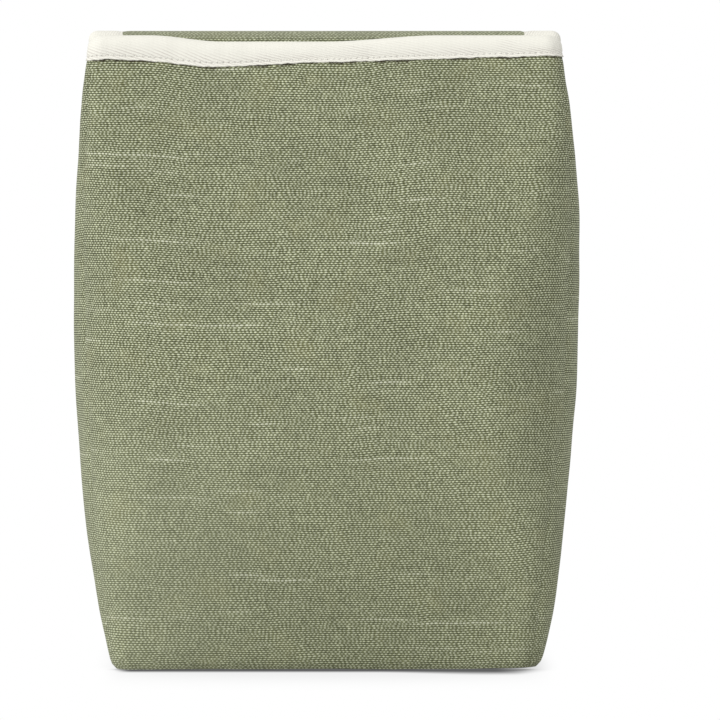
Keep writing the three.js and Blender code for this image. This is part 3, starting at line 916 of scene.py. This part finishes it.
def stack_place(first, last, depth, outside=False):
    """A layer of the flap between two places on its run, seen from its facing or its outside."""
    hand = -1 if outside else 1
    straight_end = FLAP_END - TIP_CORNER
    radius = TIP_CORNER - STACK_EDGE
    straight_rows = 0.72

    def place(p, q):
        run = lerp(first, last, q)
        if last == CLOTH_END:
            run = lerp(first, straight_end, q / straight_rows)
        half = flap_half(run) - STACK_EDGE
        if last == CLOTH_END and q >= straight_rows:
            turn = (q - straight_rows) / (1 - straight_rows) * math.pi / 2
            run = straight_end + radius * math.sin(turn)
            half = FLAP_HALF - TIP_CORNER + radius * math.cos(turn)
        return on_flap(hand * p * half, run, depth)

    return place


cloth(
    "rear_facing", 80, 40, stack_place(FACING_BOTTOM - ROLL_HEIGHT, MID_ROLL, 0), LINEN_CLOTH,
    near_crease, ["back_facing"],
)
cloth(
    "roll_facing", 80, 60, stack_place(MID_ROLL, MID_FLAP, 0), LINEN_CLOTH, far_crease,
    ["fold_facing"],
)
cloth(
    "flap_facing_cloth", 80, 90, stack_place(MID_FLAP, CLOTH_END, 0), LINEN_CLOTH, tip_crease,
    ["flap_facing", "tip_facing"],
)
cloth(
    "roll_outer", 80, 60, stack_place(MID_ROLL, MID_FLAP, STACK, outside=True), LINEN_CLOTH,
    far_crease, ["fold_outer"],
    gathers=[(2.2, 0, 0.24), (19.5, 0.2, 0.41)],
)
cloth(
    "flap_outer_cloth", 80, 90, stack_place(MID_FLAP, CLOTH_END, STACK, outside=True), LINEN_CLOTH,
    tip_crease, ["flap_outer", "tip_outer"],
    gathers=[(8.5, 0.3, 0.46)],
)
pad(
    "roll_padding", 50, 40, stack_place(MID_ROLL, MID_FLAP, FOAM_FACE), far_crease,
    ["fold_insulation"],
)
pad(
    "flap_padding", 50, 60, stack_place(MID_FLAP, CLOTH_END, FOAM_FACE), tip_crease,
    ["flap_insulation", "tip_insulation"],
)

# Tape and stitches


def tape_fold(q, front_leg, back_leg, wall_depth, proud):
    """The folded tape in section: how far in from its outermost edge, and how deep in the wall.

    q goes from the edge of the leg that shows, over the fold, to the edge of the other leg. The
    tape is pulled in along its stitches and lies on the cloth at its edges.
    """
    room = proud - TAPE
    if q < LEG_SHARE:
        down = lerp(front_leg, TURN_IN, q / LEG_SHARE)
        sunk = 0.9 * room * bell(front_leg - down, STITCH_INSET, 0.7)
        edge = (0.2 if proud == MOUTH_TAPE_PROUD else 0.6) * bell(front_leg - down, 0, 2.0)
        return down, -proud + sunk + edge * TAPE
    if q > 1 - LEG_SHARE:
        share = (q - 1 + LEG_SHARE) / LEG_SHARE
        down = lerp(TURN_IN, back_leg, share)
        sunk = 0.9 * room * bell(back_leg - down, STITCH_INSET, 0.7)
        return down, wall_depth + proud - sunk - 0.2 * room * share
    turn = (q - LEG_SHARE) / (1 - 2 * LEG_SHARE) * math.pi
    half = wall_depth / 2
    return TURN_IN * (1 - math.sin(turn)), half - (half + proud) * math.cos(turn)


def stitch_place(leg):
    """How far across the tape the stitches lie, as a share, on a leg of that length."""
    return LEG_SHARE * STITCH_INSET / (leg - TURN_IN)


def folded_tape(name, columns, place, carried_by, replaces):
    """Tape along an edge. place(share, q) puts it in place, share from 0 to 1 along the edge."""
    bm, flat, area = cut_panel(columns, 28, lambda p, q: place((p + 1) / 2, q))
    thicken(bm, TAPE_STRIP.thickness)
    piece = made_object(name, bm, TAPE_STRIP.finish, TAPE_STRIP.slot, carried_by)
    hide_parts(*replaces)


def stitch_rows(name, rows, carried_by):
    """Lock stitches along rows from row_on. A stitch takes four fifths of its pitch."""
    bm = bmesh.new()
    for at, outward, length in rows:
        count = max(1, round(length / STITCH_PITCH))
        for k in range(count):
            a, b = at((k + 0.1) / count), at((k + 0.9) / count)
            out = outward((k + 0.5) / count)
            along = (b - a).normalized()
            side = out.cross(along).normalized()
            out = along.cross(side)
            turn = Matrix((along, side, out)).transposed().to_4x4()
            halves = ((b - a).length / 2, THREAD_HALF_WIDTH, THREAD_HALF_HEIGHT, 1)
            spot = Matrix.Translation((a + b) / 2 + out * THREAD_PROUD)
            matrix = Matrix.Scale(MM, 4) @ spot @ turn @ Matrix.Diagonal(halves)
            bmesh.ops.create_uvsphere(bm, u_segments=6, v_segments=4, radius=1, matrix=matrix)
    return made_object(name, bm, THREAD_FINISH, TAPE_STRIP.slot, carried_by)


def row_on(place, q, length):
    """A row of stitches at q across a tape: its line, its outward direction and its length."""

    def at(share):
        return place(share, q)

    def outward(share):
        along = place(min(1.0, share + 0.002), q) - place(max(0.0, share - 0.002), q)
        return along.cross(place(share, q + 0.02) - place(share, q - 0.02))

    return at, outward, length


GUSSET_SHARE, FRONT_SHARE = 0.245, 0.51


def mouth_station(share):
    """The wall, and the place on it, at a share of the way round the mouth."""
    if share <= GUSSET_SHARE:
        return "left", 2 * share / GUSSET_SHARE - 1
    if share <= GUSSET_SHARE + FRONT_SHARE:
        return "front", 2 * (share - GUSSET_SHARE) / FRONT_SHARE - 1
    return "right", 2 * (share - GUSSET_SHARE - FRONT_SHARE) / (1 - GUSSET_SHARE - FRONT_SHARE) - 1


def mouth_place(share, q):
    side, p = mouth_station(share)
    down, deep = tape_fold(q, tape_leg(side, p), MOUTH_TAPE_LEG, WALL, MOUTH_TAPE_PROUD)
    return wall(side, p, tape_top(side, p) - down, deep)


mouth_row = stitch_place(MOUTH_TAPE_LEG)
mouth_stitches = stitch_rows(
    "mouth_stitches",
    [row_on(mouth_place, mouth_row, 414), row_on(mouth_place, 1 - mouth_row, 400)],
    "bag",
)
folded_tape(
    "mouth_tape", 400, mouth_place, "bag", ["mouth_binding"],
)


def side_tape_place(hand, first, last):
    """Tape along a side edge of the flap, hand -1 at the left and 1 at the right."""
    leg = face_leg(hand * FLAP_HALF)

    def place(share, q):
        run = lerp(last, first, share) if hand > 0 else lerp(first, last, share)
        down, deep = tape_fold(q, leg, FLAP_TAPE_BACK, STACK, FLAP_TAPE_PROUD)
        return on_flap(hand * (flap_half(run) + FLAP_TAPE_REACH - down), run, deep)

    return place


TIP_STRAIGHT = FLAP_END - TIP_CORNER - MID_FLAP
TIP_BEND = TIP_CORNER * math.pi / 2
TIP_ACROSS = 2 * (FLAP_HALF - TIP_CORNER)
TIP_EDGE_LENGTH = 2 * (TIP_STRAIGHT + TIP_BEND) + TIP_ACROSS


def tip_edge(share):
    """Place and outward direction at a share of the way round the tip, from left to right."""
    s = share * TIP_EDGE_LENGTH
    hand, s = (-1, s) if s <= TIP_EDGE_LENGTH / 2 else (1, TIP_EDGE_LENGTH - s)
    if s <= TIP_STRAIGHT:
        x, run, turn = FLAP_HALF, MID_FLAP + s, 0.0
    elif s <= TIP_STRAIGHT + TIP_BEND:
        turn = (s - TIP_STRAIGHT) / TIP_CORNER
        x = FLAP_HALF - TIP_CORNER + TIP_CORNER * math.sin(math.pi / 2 - turn)
        run = FLAP_END - TIP_CORNER + TIP_CORNER * math.sin(turn)
    else:
        x, run, turn = TIP_ACROSS / 2 - (s - TIP_STRAIGHT - TIP_BEND), FLAP_END, math.pi / 2
    return hand * x, run, (hand * math.cos(turn), math.sin(turn))


def tip_place(share, q):
    x, run, (dx, drun) = tip_edge(share)
    down, deep = tape_fold(q, face_leg(x), FLAP_TAPE_BACK, STACK, FLAP_TAPE_PROUD)
    reach = FLAP_TAPE_REACH - down
    return on_flap(x + dx * reach, run + drun * reach, deep)


flap_row, flap_back_row = stitch_place(FLAP_TAPE_FACE), 1 - stitch_place(FLAP_TAPE_BACK)
for side, hand in (("left", -1), ("right", 1)):
    for part, first, last, crease, node, carrier in (
        ("rear", -3.0, MID_ROLL, near_crease, "fold_binding", "rear_facing"),
        ("roll", MID_ROLL, MID_FLAP, far_crease, "flap_binding", "roll_facing"),
    ):
        place = side_tape_place(hand, first, last)
        length = last - first
        rows = [row_on(place, flap_row, length), row_on(place, flap_back_row, length)]
        stitches = stitch_rows(f"{part}_stitches_{side}", rows, crease)
        folded_tape(
            f"{part}_tape_{side}", max(16, round(length)), place, crease, [f"{node}_{side}"],
        )
tip_rows = [
    row_on(tip_place, flap_row, TIP_EDGE_LENGTH - 40),
    row_on(tip_place, flap_back_row, TIP_EDGE_LENGTH - 28),
]
tip_stitches = stitch_rows("tip_stitches", tip_rows, tip_crease)
folded_tape(
    "tip_tape", 360, tip_place, tip_crease, ["tip_binding"],
)

# Magnets

for name in ("front_magnet_left", "front_magnet_right", "tip_magnet_left", "tip_magnet_right"):
    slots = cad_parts[name].data.materials
    slots.clear()
    slots.append(STEEL_FINISH)

# Floor, light and camera


def studio_floor():
    """White to the camera, with the bag's contact shade laid round its foot."""
    bm = bmesh.new()
    bmesh.ops.create_grid(bm, x_segments=1, y_segments=1, size=6)
    bmesh.ops.translate(bm, verts=bm.verts, vec=(0, 2, -0.0002))
    f = Finish("studio_floor")
    near = f.node("AmbientOcclusion", {"samples": 12}, {"Distance": 0.016}, "AO")
    far = f.node("AmbientOcclusion", {"samples": 12}, {"Distance": 0.09}, "AO")
    at = f.node("SeparateXYZ", None, {"Vector": f.object_place()})
    x, ahead = at / MM, -BASE_DEPTH / 2 - at.other("Y") / MM
    front = f.ramp(ahead, -12, -4) * f.ramp(x, -98, -86) * (1 - f.ramp(x, 85, 100))
    rear = 1 - f.ramp(ahead, -134, -122)
    contact = (1 - f.ramp(near, 0.02, 0.72)) * (front.most(rear) * 0.72 + 0.16)
    around = 1 - (1 - f.ramp(far, 0.4, 1.0)) * front * 0.16
    # the front edge's own shade, which comes further out at the right corner
    corner = f.ramp(x, 20, 72)
    reach = corner * 6 + 3 - f.ramp(x, 80, 99) * 16
    under = (1 - f.ramp((ahead - reach) / (corner * 5 + 5), -1, 1.2)) * f.ramp(ahead, -75, -45)
    under = under * f.ramp(x, -92, -84) * (1 - f.ramp(x, 72, 101)) * 0.86
    shade = around * (1 - contact.most(under))
    shown = f.node("Emission", None, {"Color": (1, 1, 1, 1), "Strength": shade})
    bounce = f.node("BsdfDiffuse", None, {"Color": (0.72, 0.72, 0.72, 1)})
    mixed = f.node("MixShader", None, {0: f.background_rays(), 1: bounce, 2: shown})
    f.node("OutputMaterial", None, {"Surface": mixed})
    made_object("floor", bm, f.owner)


def studio_light():
    """A white sky, a little weaker as light than as background, and a broad soft sun."""
    f = Finish("studio", bpy.data.worlds)
    ramp = {"Value": f.background_rays(), "To Min": 0.68, "To Max": 1.0}
    strength = f.node("MapRange", None, ramp)
    sky = f.node("Background", None, {"Color": (1, 1, 1, 1), "Strength": strength})
    f.node("OutputWorld", None, {"Surface": sky})
    bpy.context.scene.world = f.owner
    key = bpy.data.lights.new("soft_key", "SUN")
    key.energy = 1.46
    key.angle = math.radians(35)
    lamp = bpy.data.objects.new("soft_key", key)
    bpy.context.scene.collection.objects.link(lamp)
    lamp.rotation_mode = "QUATERNION"
    lamp.rotation_quaternion = Vector((0.62, 0.62, -0.55)).to_track_quat("-Z", "Y")


def studio_camera():
    """A long lens, level with the mouth. The front fills seen_width of the picture's width."""
    seen_width, picture = 0.3096, 720
    right, up = 33.5, -14  # the picture's shift in pixels
    eye, aim, front = Vector((0, -3.0, 0.295)), Vector((0, 0, 0.137)), Vector((0, -0.0655, 0.137))
    data = bpy.data.cameras.new("camera")
    camera = bpy.data.objects.new("camera", data)
    bpy.context.scene.collection.objects.link(camera)
    look = (aim - eye).normalized()
    camera.location = eye
    camera.rotation_mode = "QUATERNION"
    camera.rotation_quaternion = look.to_track_quat("-Z", "Y")
    data.sensor_width = 36
    data.lens = data.sensor_width * (front - eye).dot(look) / seen_width
    data.shift_x = right / picture
    data.shift_y = up / picture
    data.clip_start, data.clip_end = 0.1, 50
    bpy.context.scene.camera = camera


studio_floor()
studio_light()
studio_camera()
bpy.context.scene.view_settings.view_transform = "Standard"
